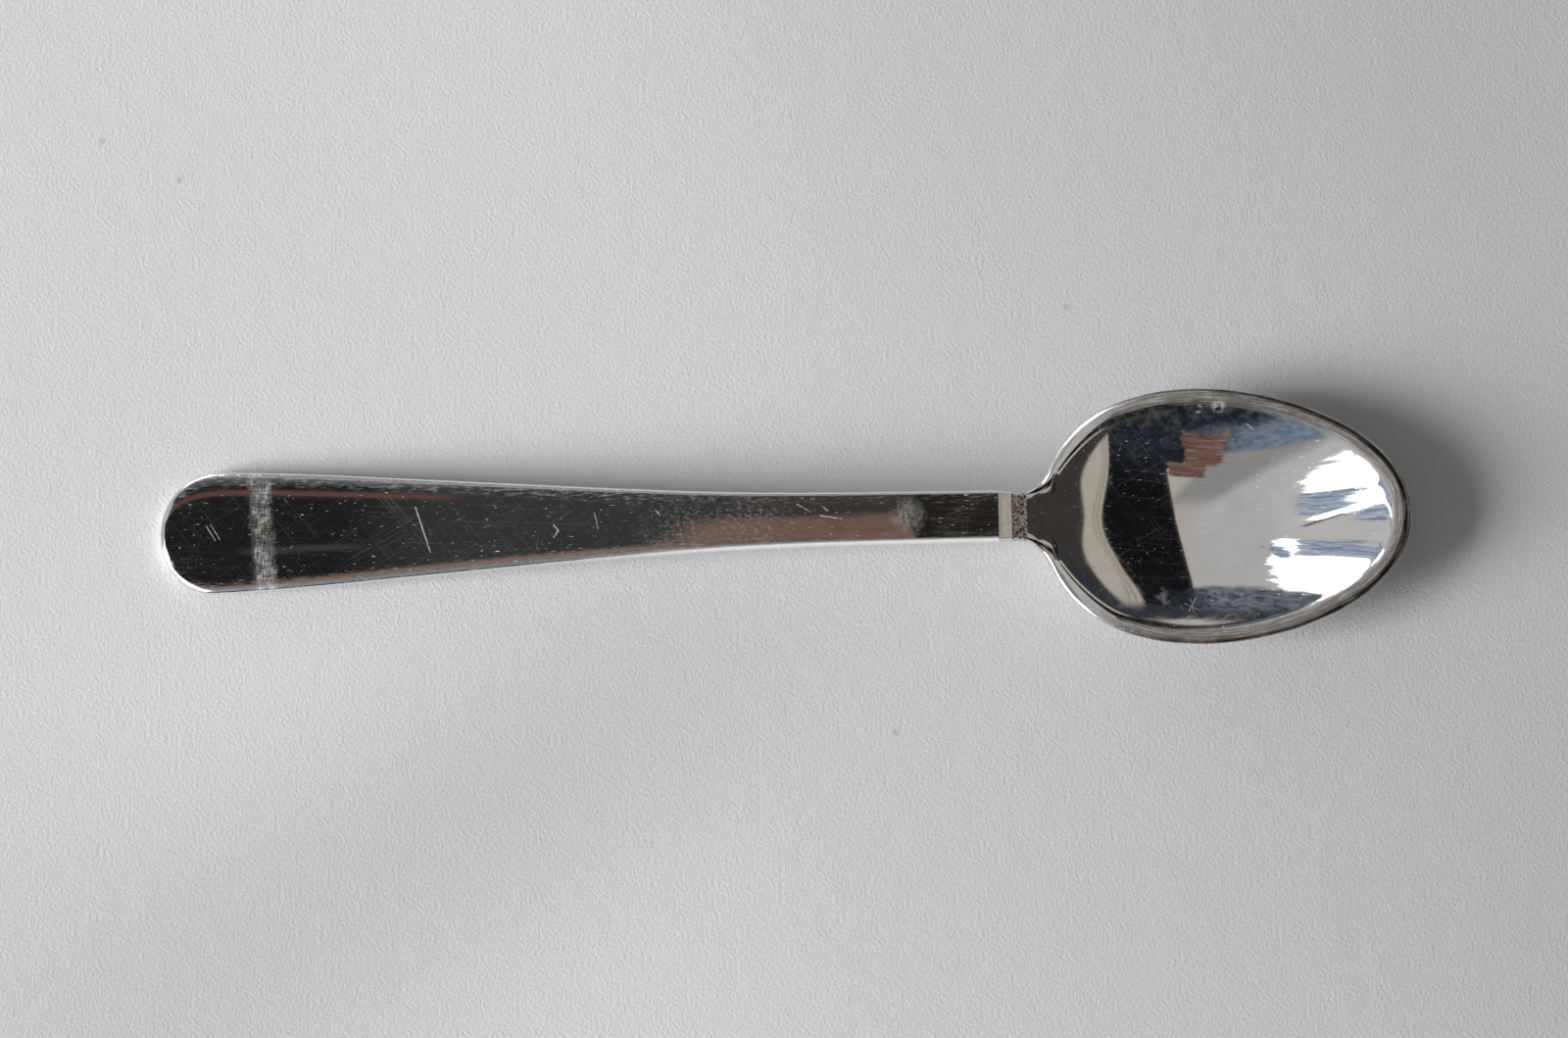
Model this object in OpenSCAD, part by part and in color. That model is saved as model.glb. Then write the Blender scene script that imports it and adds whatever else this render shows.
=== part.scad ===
// Teaspoon: an egg-shaped bowl on a stem with a flat face, which widens
// evenly into a broad rounded end. A flat facet leads from the stem's face
// down into the bowl, and a tongue of metal, the drop, carries the stem's
// underside on over the bowl's back. The spoon lies on the middle of the
// bowl's back and on the turned-down end.
// X runs along the spoon from the end of the stem to the tip of the bowl,
// Y runs across it, and Z is up from the table. A section across X is one
// closed outline, and the solids are lofts through such sections.

/* [Bowl] */
// Width of the bowl at its widest place
bowl_w = 27.8; // [25:0.1:31]
// Length of the bowl from its widest place to the tip
bowl_front = 22.9; // [20:0.1:26]
// Length from the widest place back to where the egg shape would close
bowl_rear = 17.1; // [15.5:0.1:19]
// Depth of the inside below the rim
bowl_depth = 6; // [5:0.1:7.5]
// Thickness of the metal in the middle of the bowl
floor_t = 1.2; // [0.9:0.05:1.6]
// Width of the flat rim
rim_w = 1.3; // [0.9:0.05:1.6]
// Height of the rounded outer edge of the rim
rim_h = 0.95; // [0.7:0.05:1.3]
// How far the rim rises from the sides of the bowl to its tip
rim_lift = 0.2; // [0.1:0.05:0.5]
// How far the rounding of that edge reaches in from the side
rim_round = 0.75; // [0.4:0.05:0.85]
// Depth of the soft lip between the rim and the hollow
rim_lip = 0.2; // [0.1:0.05:0.3]
// Depth of the spot worn flat where the bowl's back meets the table
wear_depth = 0.08; // [0.06:0.01:0.12]

/* [Heel] */
// Length of the shoulders between the stem and the egg shape
shoulder_len = 4.9; // [4:0.1:6]
// How much further the rounding of the edges reaches in at the shoulders
shoulder_round = 1.3; // [0.6:0.1:1.6]
// Length of the flat facet from the stem's face down into the bowl
facet_len = 3.2; // [2.5:0.1:4]
// Slope of that facet, in degrees
facet_angle = 25; // [20:0.5:30]
// Size of the small round at the facet's upper end
facet_round = 0.15; // [0.1:0.05:0.6]
// Slope of the bowl's hollow where it leaves the foot of the facet, in degrees
hollow_angle = 36; // [31:0.5:42]
// Size of the round where the edges leave the facet and level out as the rim
rim_ease = 0.6; // [0.3:0.1:1.2]
// Size of the wide round under the heel, where the back leaves the stem
heel_round = 3.2; // [2:0.2:5]

/* [Drop] */
// Length of the drop on the bowl's back
drop_len = 11; // [8:0.5:13]
// Width of the drop
drop_w = 4.6; // [3.5:0.1:5]
// How far the drop stands proud of the bowl's back near its round end
drop_h = 0.8; // [0.5:0.05:1]
// Thickness of the drop where it begins, at the neck
drop_start = 0.12; // [0.1:0.02:0.3]
// Gap between the drop and the bowl's back
seat_gap = 0.01; // [0.01:0.01:0.03]

/* [Stem] */
// Length from the round end to the neck, where the bowl's piece begins
stem_len = 91; // [80:1:100]
// Width of the stem at the neck, its narrowest place
neck_w = 5.4; // [4.5:0.1:6.5]
// Thickness of the stem at the neck
neck_t = 2.6; // [2:0.1:3.2]
// Height of the stem's face above the table at the neck
neck_z = 10; // [9.5:0.1:11.5]
// How far the stem's face arches above a straight line, half way along
stem_arch = 0.8; // [0.4:0.1:1.4]
// How far the rounding of the stem's edges reaches in at the neck
neck_round = 0.45; // [0.3:0.05:0.7]
// Distance from the round end at which the even taper would run out
taper_end = 63; // [55:0.5:70]
// Length over which the taper eases into the straight neck
taper_ease = 12; // [8:0.5:18]
// Slope of each side of the taper, as a share of the length
taper_share = 0.075; // [0.06:0.001:0.09]

/* [Round end] */
// Width at which the end of the stem levels out
end_w = 13.6; // [12:0.1:15]
// Size of the round between the taper and that level width
end_ease = 0.8; // [0.4:0.1:1.4]
// Length of the half ellipse that closes the outline
end_round = 6.5; // [5.5:0.1:8]
// Thickness of the metal at the end
end_t = 1.4; // [1.1:0.05:1.8]
// How far the rounding of the edges reaches in along the wide part
end_edge = 0.65; // [0.4:0.05:0.8]
// How far the face is crowned above its edges along the wide part
face_crown = 0.1; // [0.04:0.02:0.2]
// How far the underside is crowned below its edges
under_crown = 0.06; // [0.04:0.02:0.1]
// Length of the end that turns down to the table
turn_len = 10.8; // [9:0.2:14]
// Height of the stem's face above the table where it starts to turn down
turn_z = 3; // [2.8:0.1:3.6]
// Slope of the end where it touches the table, in degrees
turn_angle = 10.5; // [9:0.5:14]

/* [Hidden] */

// Steps of the lofts: sections along each piece, and points across them
foot_steps = 4;
rear_steps = 20;
front_steps = 18;
stem_steps = 20;
end_steps = 16;
drop_steps = 12;
drop_end_steps = 7;
across_steps = 12;
edge_steps = 4;

// Shares: the egg closes as a power of its length, a little fuller than an
// ellipse, and its shoulders sweep some way in over the egg's own outline
egg_power_share = 0.45;
sweep_share = 0.24;
// The dished or crowned top keeps between these shares of the half width
dish_low_share = 0.25;
dish_high_share = 0.97;
// The crown of the stem's face keeps this share of its height at the neck
neck_crown_share = 0.4;
// At the rounded ends the middle draws in by this share of what the edges do
pull_share = 0.9;
// The drop reaches its full height at this share of its length
drop_full_share = 0.6;
// The fullness of the drop's section, between a square and an ellipse
drop_power_share = 0.6;

// Places along X, with the middle of the spoon at zero
overall_len = stem_len + shoulder_len + bowl_rear + bowl_front;
x_end = -overall_len / 2;
x_turn = x_end + turn_len;
x_neck = x_end + stem_len;
x_close = x_neck + shoulder_len;
x_wide = x_close + bowl_rear;
x_tip = x_wide + bowl_front;
x_sweep = x_close + sweep_share * shoulder_len;
x_foot = x_neck + facet_len;
x_drop = x_neck + drop_len;
// The edges are rounded furthest at x_full, and as the rim from x_thin on
x_full = x_neck + 1.3 * shoulder_len;
x_thin = x_neck + 2.8 * shoulder_len;
// The outlines close this far short of a point, on a narrow flat
end_flat = floor_t / 96;
// Step along X over which the slope of an outline is taken
slope_step = floor_t / 24;

// Heights above the table: of the rim at its lowest, and of the facet's foot
rim_z = floor_t + bowl_depth;
foot_z = neck_z - facet_len * tan(facet_angle);

// The lower or the upper of two values, rounded where they come within k
function lower_of(a, b, k) = min(a, b) - pow(max(0, k - abs(a - b)), 2) / (4 * k);
function upper_of(a, b, k) = -lower_of(-a, -b, k);
// A smooth step from 0 to 1 as x goes from a to b
function ease(x, a, b) =
    let (t = max(0, min(1, (x - a) / (b - a))))
    t * t * (3 - 2 * t);
function mix(a, b, t) = a + (b - a) * t;
// A quarter ellipse: 0 at t = 0, and level at 1 from t = 1
function quarter(t) = sqrt(1 - pow(1 - max(0, min(1, t)), 2));
// A cubic from height a to height b over xa to xb, with slopes sa and sb
function cubic(x, xa, xb, a, b, sa, sb) =
    let (run = xb - xa, t = (x - xa) / run)
    a * (1 + t * t * (2 * t - 3)) + b * t * t * (3 - 2 * t)
    + run * (sa * t * pow(t - 1, 2) + sb * t * t * (t - 1));

// Place along an egg: -1 where it closes at the heel, 0 at its widest, 1 at the tip
function egg_place(x, front, rear) =
    let (skew = (front - rear) / (front + rear), t = x - x_wide)
    t / (front * (1 - skew) + skew * t);
function egg_half(x, half, front, rear) =
    half * pow(max(0, 1 - pow(egg_place(x, front, rear), 2)), egg_power_share);
function bowl_half(x) = egg_half(x, bowl_w / 2, bowl_front, bowl_rear);
function bowl_slope(x) =
    (bowl_half(x + slope_step) - bowl_half(x - slope_step)) / (2 * slope_step);

// Half width of the stem: straight neck, even taper, level width, round end
function taper_half(s) =
    let (left = taper_end - s)
    neck_w / 2 + taper_share * (left + sqrt(left * left + taper_ease * taper_ease)) / 2;
function stem_half(x) =
    let (s = x - x_end)
    lower_of(taper_half(s), end_w / 2, end_ease) * quarter(s / end_round);
// Half width of the whole spoon, with the shoulders as a cubic
function half_w(x) =
    x <= x_neck ? stem_half(x)
    : x >= x_sweep ? bowl_half(x)
    : cubic(x, x_neck, x_sweep, stem_half(x_neck), bowl_half(x_sweep), 0, bowl_slope(x_sweep));
function half_slope(x) =
    (half_w(x + slope_step) - half_w(x - slope_step)) / (2 * slope_step);

// Height of the stem's face: an even arch, then a curve down to the table
face_run = x_neck - x_turn;
arch_slope = (neck_z - turn_z + 4 * stem_arch) / face_run;
end_slope = tan(turn_angle);
// The rounded end meets the table a little way in from its edge
end_rise = (end_t - face_crown - under_crown) / 2;
end_lean = end_slope * end_edge / end_rise;
end_z = end_t - end_slope * end_edge + end_rise * (sqrt(1 + end_lean * end_lean) - 1);
function face_z(x) =
    let (t = (x - x_turn) / face_run)
    x < x_turn ? cubic(x, x_end, x_turn, end_z, turn_z, end_slope, arch_slope)
    : mix(turn_z, neck_z, t) + 4 * stem_arch * t * (1 - t);

// Height of the inside on the middle line: the facet, then a hollow that
// leaves its foot in a crease, and an even rise to the rim at the tip
hollow_power = tan(hollow_angle) * (x_wide - x_foot) / (foot_z - floor_t);
function facet_z(x) = neck_z - (x - x_neck) * tan(facet_angle);
function hollow_z(x) =
    mix(floor_t, foot_z, pow(max(0, (x_wide - x) / (x_wide - x_foot)), hollow_power));
function rim_at(x) = rim_z + rim_lift * pow((x - x_wide) / bowl_front, 2);
function inside_z(x) =
    x <= x_foot ? facet_z(x)
    : x <= x_wide ? hollow_z(x)
    : mix(floor_t, rim_at(x), pow(min(1, egg_place(x, bowl_front - rim_w, bowl_rear - rim_w)), 2));
function middle_z(x) = lower_of(face_z(x), inside_z(x), facet_round);
function crown(x) =
    face_crown * mix(1, neck_crown_share, ease(x, x_turn, x_neck)) * (1 - ease(x, x_neck, x_foot));
// Height of the top edges: they follow the facet, then level out as the rim
function edge_z(x) =
    lower_of(face_z(x), upper_of(facet_z(x), rim_at(x), rim_ease), facet_round) - crown(x);

// Thickness of the metal on the middle line, and at the edges
function stem_t(x) = mix(end_t, neck_t, ease(x, x_turn, x_neck));
function middle_t(x) =
    x <= x_neck ? stem_t(x)
    : mix(neck_t, floor_t + wear_depth, ease(x, x_neck, x_wide));
function edge_t(x) =
    x <= x_neck ? stem_t(x) - crown(x) - under_crown
    : mix(neck_t - under_crown, rim_h, ease(x, x_neck, x_neck + 2 * shoulder_len));
// Height of the underside on the middle line: it follows the hollow, and
// leaves the stem in a wide round
function under_z(x) =
    x <= x_wide ? lower_of(face_z(x), hollow_z(x), heel_round) - middle_t(x)
    : mix(-wear_depth, rim_at(x) - rim_h, pow(egg_place(x, bowl_front, bowl_rear), 2));

// Rounding of the edges, the half width inside it, and that of the dished top
function edge_in(x) =
    x <= x_neck ? mix(end_edge, neck_round, ease(x, x_turn, x_neck))
    : mix(neck_round, rim_round, ease(x, x_neck, x_close))
    + shoulder_round * ease(x, x_neck, x_full) * (1 - ease(x, x_full, x_thin));
function flat_half(x) = let (w = half_w(x)) max(w / 2, w - edge_in(x));
function rim_in(x) = mix(neck_round, rim_w, ease(x, x_neck, x_neck + 2 * shoulder_len));
function dish_half(x) =
    x <= x_neck ? half_w(x)
    : x <= x_wide ? half_w(x) - rim_in(x) * sqrt(1 + pow(half_slope(x), 2))
    : egg_half(x, bowl_w / 2 - rim_w, bowl_front - rim_w, bowl_rear - rim_w);

// The top of the bowl: the hollow, rounded into the rim over a soft lip
function lipped(z, top, lip) = lip > 0 ? lower_of(z, top, lip) : z;

// How far top and underside draw in where the spoon's two ends are rounded
function end_pull(x) =
    let (reach = x < 0 ? end_edge : rim_round, left = min(x - x_end, x_tip - x))
    edge_t(x) / 2 * (1 - quarter(left / reach));

// Height of the underside at any place, seen from above
function back_z(x, y) =
    let (
        pull = end_pull(x),
        low = edge_z(x) - edge_t(x) + pull,
        mid = under_z(x) + pull_share * pull
    )
    max(0, mid + (low - mid) * pow(y / flat_half(x), 2));

// Half of a section at place x, from the top's middle round to the underside's
function half_section(x) =
    let (
        pull = end_pull(x),
        w = half_w(x),
        flat = flat_half(x),
        dish = max(dish_low_share * flat, min(dish_high_share * flat, dish_half(x))),
        top = edge_z(x) - pull,
        mid = middle_z(x) - pull_share * pull,
        lip = rim_lip * ease(x, x_foot, x_full),
        round_z = edge_t(x) / 2 - pull
    )
    concat(
        [for (i = [0:across_steps]) let (u = i / across_steps)
            [dish * u, lipped(mix(mid, top, u * u), top, lip)]],
        [for (i = [0:edge_steps]) let (a = 90 - 180 * i / edge_steps)
            [flat + (w - flat) * cos(a), top - round_z + round_z * sin(a)]],
        [for (i = [across_steps - 1:-1:0]) let (y = flat * i / across_steps) [y, back_z(x, y)]]
    );
// The whole section, closed by the mirror image of its half
function section(x) =
    let (half = half_section(x), n = len(half))
    [for (i = [0:2 * n - 3]) let (p = i < n ? half[i] : half[2 * n - 2 - i])
        [x, i < n ? p[0] : -p[0], p[1]]];

// Section of the drop: its seat along the bowl's back, and its rounded face
function drop_half(x) = drop_w / 2 * quarter((x_drop - x) * 2 / drop_w);
function drop_rise(x) =
    mix(drop_start, drop_h, ease(x, x_neck, x_neck + drop_full_share * drop_len))
    * quarter((x_drop - x) / drop_h);
function drop_section(x) =
    let (w = drop_half(x), rise = drop_rise(x))
    concat(
        [for (i = [-across_steps:2:across_steps]) let (y = w * i / across_steps)
            [x, y, back_z(x, y) - seat_gap]],
        [for (i = [1:across_steps - 1]) let (a = 180 * i / across_steps, y = w * cos(a))
            [x, y, back_z(x, y) - seat_gap - rise * pow(sin(a), drop_power_share)]]
    );

// A solid through sections that all have the same number of points
module loft(sections) {
    n = len(sections[0]);
    last = len(sections) - 1;
    polyhedron(
        points = [for (ring = sections) each ring],
        faces = concat(
            [[for (i = [n - 1:-1:0]) i]],
            [for (k = [0:last - 1], i = [0:n - 1])
                let (a = k * n + i, b = k * n + (i + 1) % n)
                each [[a, b, a + n], [b, b + n, a + n]]],
            [[for (i = [0:n - 1]) last * n + i]]
        )
    );
}

// Places from a to b: evenly apart, or closing up towards a round end at b
function even_places(a, b, steps) = [for (i = [0:steps]) mix(a, b, i / steps)];
function closing_places(a, b, steps) = [for (i = [0:steps]) mix(a, b, sin(90 * i / steps))];

module bowl() {
    places = concat(
        even_places(x_neck, x_foot, foot_steps),
        [for (i = [1:rear_steps]) even_places(x_foot, x_wide, rear_steps)[i]],
        [for (i = [1:front_steps]) closing_places(x_wide, x_tip - end_flat, front_steps)[i]]
    );
    color("silver") loft([for (x = places) section(x)]);
}

module drop() {
    x_round = x_drop - drop_w / 2;
    places = concat(
        even_places(x_neck, x_round, drop_steps),
        [for (i = [1:drop_end_steps]) closing_places(x_round, x_drop - end_flat, drop_end_steps)[i]]
    );
    color("silver") loft([for (x = places) drop_section(x)]);
}

module stem() {
    color("silver") loft([for (x = closing_places(x_turn, x_neck, stem_steps)) section(x)]);
}

module stem_end() {
    places = closing_places(x_turn, x_end + end_flat, end_steps);
    color("silver") loft([for (i = [end_steps:-1:0]) section(places[i])]);
}

bowl();
drop();
stem();
stem_end();
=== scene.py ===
import math
from types import SimpleNamespace

import bmesh
import bpy
import numpy as np
from mathutils import Euler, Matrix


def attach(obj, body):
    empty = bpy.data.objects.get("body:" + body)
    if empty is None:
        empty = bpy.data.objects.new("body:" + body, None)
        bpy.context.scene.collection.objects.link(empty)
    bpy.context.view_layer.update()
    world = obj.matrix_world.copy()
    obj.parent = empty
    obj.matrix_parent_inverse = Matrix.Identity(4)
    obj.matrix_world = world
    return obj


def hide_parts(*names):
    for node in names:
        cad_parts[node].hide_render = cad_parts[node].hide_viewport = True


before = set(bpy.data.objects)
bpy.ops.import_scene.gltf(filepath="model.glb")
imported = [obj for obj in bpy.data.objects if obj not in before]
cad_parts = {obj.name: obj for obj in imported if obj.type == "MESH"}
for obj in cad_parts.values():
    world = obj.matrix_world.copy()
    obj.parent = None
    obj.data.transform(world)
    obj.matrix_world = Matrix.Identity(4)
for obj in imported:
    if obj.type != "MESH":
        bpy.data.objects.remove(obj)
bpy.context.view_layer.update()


# Stem. A bar of silver-plated metal, stamped with a flat polished face that
# tapers evenly from the round end to the neck and rises in a slow arch. It is
# one metal with the bowl and the round end, and meets them face to face.

# Places along the blank, widths, thicknesses and heights, in metres.
blank_sizes = dict(
    end_x=-0.06795, turn_x=-0.05715, neck_x=0.02305, foot_x=0.02625, wide_x=0.04505,
    end_w=0.0136, end_ease=0.0008, end_round=0.0065, neck_w=0.0054,
    taper_end=0.063, taper_ease=0.012, taper_slope=0.075,
    end_t=0.0014, neck_t=0.0026, floor_t=0.0012,
    end_edge=0.00065, neck_round=0.00045, facet_round=0.000002, heel_round=0.0032,
    face_crown=0.0001, neck_crown=0.4, under_crown=0.00006, pull=0.9,
    turn_z=0.003, neck_z=0.0099875, stem_arch=0.0008,
    end_slope=math.tan(math.radians(10.5)), facet_slope=math.tan(math.radians(25)),
    hollow_slope=math.tan(math.radians(36)),
)


class Field:
    """A value that a node tree works out at every point, written like a number."""

    def __init__(self, tree, socket):
        self.tree, self.socket = tree, socket

    def __add__(self, b): return sum_of("ADD", self, b)
    def __radd__(self, b): return sum_of("ADD", b, self)
    def __sub__(self, b): return sum_of("SUBTRACT", self, b)
    def __rsub__(self, b): return sum_of("SUBTRACT", b, self)
    def __mul__(self, b): return sum_of("MULTIPLY", self, b)
    def __rmul__(self, b): return sum_of("MULTIPLY", b, self)
    def __truediv__(self, b): return sum_of("DIVIDE", self, b)
    def __rtruediv__(self, b): return sum_of("DIVIDE", b, self)


def sum_of(what, *values):
    """One Math node between values of a tree."""
    tree = next(v.tree for v in values if isinstance(v, Field))
    node = tree.nodes.new("ShaderNodeMath")
    node.operation = what
    for slot, value in zip(node.inputs, values):
        if isinstance(value, Field):
            tree.links.new(value.socket, slot)
        else:
            slot.default_value = value
    return Field(tree, node.outputs[0])


def rule(what, numbers):
    """A function that works on numbers, on arrays and on the values of a tree."""
    def made(*values):
        if any(isinstance(v, Field) for v in values):
            return sum_of(what, *values)
        return numbers(*values)
    return made


least = rule("MINIMUM", np.minimum)
most = rule("MAXIMUM", np.maximum)
root = rule("SQRT", np.sqrt)
size = rule("ABSOLUTE", np.abs)
sine = rule("SINE", np.sin)
cosine = rule("COSINE", np.cos)
power = rule("POWER", np.power)
below = rule("LESS_THAN", lambda a, b: np.where(a < b, 1.0, 0.0))


def clamp(t): return least(1.0, most(0.0, t))
def mix(a, b, t): return a + (b - a) * t


def lower_of(a, b, near):
    """The lower of two heights, with a soft turn where they come near each other."""
    gap = most(0.0, near - size(a - b))
    return least(a, b) - gap * gap / (4 * near)


def ease(x, a, b):
    """A smooth step from 0 at a to 1 at b."""
    t = clamp((x - a) / (b - a))
    return t * t * (3 - 2 * t)


def quarter(t):
    """The height of a quarter circle, from 0 up to 1."""
    left = 1 - clamp(t)
    return root(1 - left * left)


def cubic(x, xa, xb, a, b, slope_a, slope_b):
    """A curve between two heights that leaves and arrives with given slopes."""
    run = xb - xa
    t = (x - xa) / run
    back = t - 1
    return (a * (1 + t * t * (2 * t - 3)) + b * t * t * (3 - 2 * t)
            + run * (slope_a * t * back * back + slope_b * t * t * back))


def stem_half(blank, x):
    """Half width of the stem: straight neck, even taper, level width, round end."""
    left = blank.taper_end - (x - blank.end_x)
    eased = root(left * left + blank.taper_ease * blank.taper_ease)
    taper = blank.neck_w / 2 + blank.taper_slope * (left + eased) / 2
    width = lower_of(taper, blank.end_w / 2, blank.end_ease)
    return width * quarter((x - blank.end_x) / blank.end_round)


def face_z(blank, x):
    """Height of the face: an even arch, then a curve down to the table."""
    run = blank.neck_x - blank.turn_x
    t = (x - blank.turn_x) / run
    arch = mix(blank.turn_z, blank.neck_z, t) + 4 * blank.stem_arch * t * (1 - t)
    arch_slope = (blank.neck_z - blank.turn_z + 4 * blank.stem_arch) / run
    rise = (blank.end_t - blank.face_crown - blank.under_crown) / 2
    lean = blank.end_slope * blank.end_edge / rise
    end_z = blank.end_t - blank.end_slope * blank.end_edge + rise * (root(1 + lean * lean) - 1)
    turned = cubic(x, blank.end_x, blank.turn_x, end_z, blank.turn_z, blank.end_slope, arch_slope)
    return mix(arch, turned, below(x, blank.turn_x))


def facet_z(blank, x): return blank.neck_z - (x - blank.neck_x) * blank.facet_slope


def hollow_z(blank, x):
    """Height of the bowl's hollow behind its widest place, carried on under the stem."""
    foot_z = facet_z(blank, blank.foot_x)
    fall = blank.hollow_slope * (blank.wide_x - blank.foot_x) / (foot_z - blank.floor_t)
    place = most(0.0, (blank.wide_x - x) / (blank.wide_x - blank.foot_x))
    return mix(blank.floor_t, foot_z, power(place, fall))


def stem_place(blank, x, around, side):
    """Across and up of a point of the stem: around runs from the middle of the
    face at 0 over the edge near one half to the middle of the underside at 1."""
    half = stem_half(blank, x)
    along = ease(x, blank.turn_x, blank.neck_x)
    edge_in = least(mix(blank.end_edge, blank.neck_round, along), half / 2)
    thick = mix(blank.end_t, blank.neck_t, along)
    crown = blank.face_crown * mix(1.0, blank.neck_crown, along)
    edge_t = thick - crown - blank.under_crown
    face, facet = face_z(blank, x), facet_z(blank, x)
    pull = edge_t / 2 * (1 - quarter((x - blank.end_x) / blank.end_edge))
    top = lower_of(face, facet, blank.facet_round) - crown - pull
    middle = lower_of(face, facet, blank.facet_round) - blank.pull * pull
    low = top - edge_t + 2 * pull
    under = lower_of(face, hollow_z(blank, x), blank.heel_round) - thick + blank.pull * pull
    edge_from, edge_to = 0.42, 0.58
    out = least(1.0, least(around / edge_from, (1 - around) / (1 - edge_to)))
    turn = math.pi * (0.5 - clamp((around - edge_from) / (edge_to - edge_from)))
    flat = half - edge_in
    across = flat * out + edge_in * most(0.0, cosine(turn))
    inner = 1 - out * out
    on_face = below(around, 0.5)
    edge_z = top - (edge_t / 2 - pull) * (1 - sine(turn))
    up = edge_z + inner * mix(under - low, middle - top, on_face)
    return across * side, most(0.0, up)


def loft_tree(name, sizes, along, around):
    """A node tree that shapes a tube with flat ends into a length of the stem."""
    tree = bpy.data.node_groups.new(name, "GeometryNodeTree")
    tree.interface.new_socket("Geometry", in_out="OUTPUT", socket_type="NodeSocketGeometry")
    for label, value in dict(start=0.0, stop=0.0, closing=0.0, **sizes).items():
        socket = tree.interface.new_socket(label, in_out="INPUT", socket_type="NodeSocketFloat")
        socket.default_value = value
    tree.interface.new_socket("silver", in_out="INPUT", socket_type="NodeSocketMaterial")
    given = tree.nodes.new("NodeGroupInput")
    blank = SimpleNamespace(**{s.name: Field(tree, s) for s in given.outputs if s.name})
    tube = tree.nodes.new("GeometryNodeMeshCylinder")
    tube.fill_type = "NGON"
    tube.inputs["Vertices"].default_value = around
    tube.inputs["Side Segments"].default_value = along
    tube.inputs["Radius"].default_value = 1.0
    tube.inputs["Depth"].default_value = 2.0
    place = tree.nodes.new("GeometryNodeInputPosition")
    split = tree.nodes.new("ShaderNodeSeparateXYZ")
    tree.links.new(place.outputs[0], split.inputs[0])
    across, up, level = (Field(tree, s) for s in split.outputs)
    angle = sum_of("ARCTAN2", across, up)
    t = clamp((1 + level) / 2)
    t = mix(t, sine(t * (math.pi / 2)), blank.closing)
    x = mix(blank.start, blank.stop, t)
    y, z = stem_place(blank, x, size(angle) / math.pi, sum_of("SIGN", angle))
    join = tree.nodes.new("ShaderNodeCombineXYZ")
    for value, slot in zip((x, y, z), join.inputs):
        tree.links.new(value.socket, slot)
    shape = tree.nodes.new("GeometryNodeSetPosition")
    tree.links.new(tube.outputs["Mesh"], shape.inputs["Geometry"])
    tree.links.new(join.outputs[0], shape.inputs["Position"])
    smooth = tree.nodes.new("GeometryNodeSetShadeSmooth")
    tree.links.new(shape.outputs[0], smooth.inputs[0])
    real = tree.nodes.new("GeometryNodeRealizeInstances")
    tree.links.new(smooth.outputs[0], real.inputs[0])
    finish = tree.nodes.new("GeometryNodeSetMaterial")
    tree.links.new(real.outputs[0], finish.inputs[0])
    tree.links.new(given.outputs["silver"], finish.inputs["Material"])
    out = tree.nodes.new("NodeGroupOutput")
    tree.links.new(finish.outputs[0], out.inputs[0])
    return tree


shapes = bpy.context.scene.collection


def make_from_tree(name, tree, values):
    """The mesh that a tree makes, as a plain object with no modifier."""
    maker = bpy.data.objects.new(name + "_maker", bpy.data.meshes.new(name + "_maker"))
    shapes.objects.link(maker)
    nodes = maker.modifiers.new("shape", "NODES")
    nodes.node_group = tree
    ids = {s.name: s.identifier for s in tree.interface.items_tree if s.in_out == "INPUT"}
    for label, value in values.items():
        nodes[ids[label]] = value
    maker.update_tag()
    seen = maker.evaluated_get(bpy.context.evaluated_depsgraph_get())
    mesh = bpy.data.meshes.new_from_object(seen)
    mesh.name = name
    bpy.data.objects.remove(maker)
    piece = bpy.data.objects.new(name, mesh)
    shapes.objects.link(piece)
    return piece


def close_up(piece, crease=50):
    """Everything faces outwards, and edges past the crease angle stay sharp in shade."""
    made = bmesh.new()
    made.from_mesh(piece.data)
    bmesh.ops.recalc_face_normals(made, faces=made.faces)
    made.to_mesh(piece.data)
    made.free()
    piece.data.set_sharp_from_angle(angle=math.radians(crease))


def place_on(tree, output="Object"):
    """Place of a point as three values, and as one socket."""
    place = tree.nodes.new("ShaderNodeTexCoord")
    split = tree.nodes.new("ShaderNodeSeparateXYZ")
    tree.links.new(place.outputs[output], split.inputs[0])
    return [Field(tree, s) for s in split.outputs] + [place.outputs[output]]


def noise(tree, at, scale, detail=2.0, rough=0.5, stretch=None):
    """Cloudy noise about one half at a place, with its scale in steps to the metre."""
    if stretch:
        bend = tree.nodes.new("ShaderNodeMapping")
        bend.inputs["Scale"].default_value = stretch
        tree.links.new(at, bend.inputs["Vector"])
        at = bend.outputs[0]
    cloud = tree.nodes.new("ShaderNodeTexNoise")
    cloud.inputs["Scale"].default_value = scale
    cloud.inputs["Detail"].default_value = detail
    cloud.inputs["Roughness"].default_value = rough
    tree.links.new(at, cloud.inputs["Vector"])
    return Field(tree, cloud.outputs[0])


def paint(tree, under, cover, colour):
    """Lays a colour over another one as far as the cover reaches."""
    node = tree.nodes.new("ShaderNodeMix")
    node.data_type = "RGBA"
    tree.links.new(cover.socket, node.inputs[0])
    for socket, value in ((node.inputs[6], under), (node.inputs[7], colour)):
        if isinstance(value, bpy.types.NodeSocket):
            tree.links.new(value, socket)
        else:
            socket.default_value = (*value, 1)
    return node.outputs[2]


def lay(tree, under, layers):
    """Lays colour after colour over the first one, each as far as its cover reaches."""
    for cover, colour in layers:
        under = paint(tree, under, cover, colour)
    return under


def band(value, a, b, soft):
    """One between a and b, and nothing outside, with soft sides."""
    return ease(value, a - soft, a + soft) * (1 - ease(value, b - soft, b + soft))


def ragged(value, a, b):
    """A step from 0 to 1, for the thin lines and specks of a noise."""
    return clamp((value - a) / (b - a))


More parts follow.
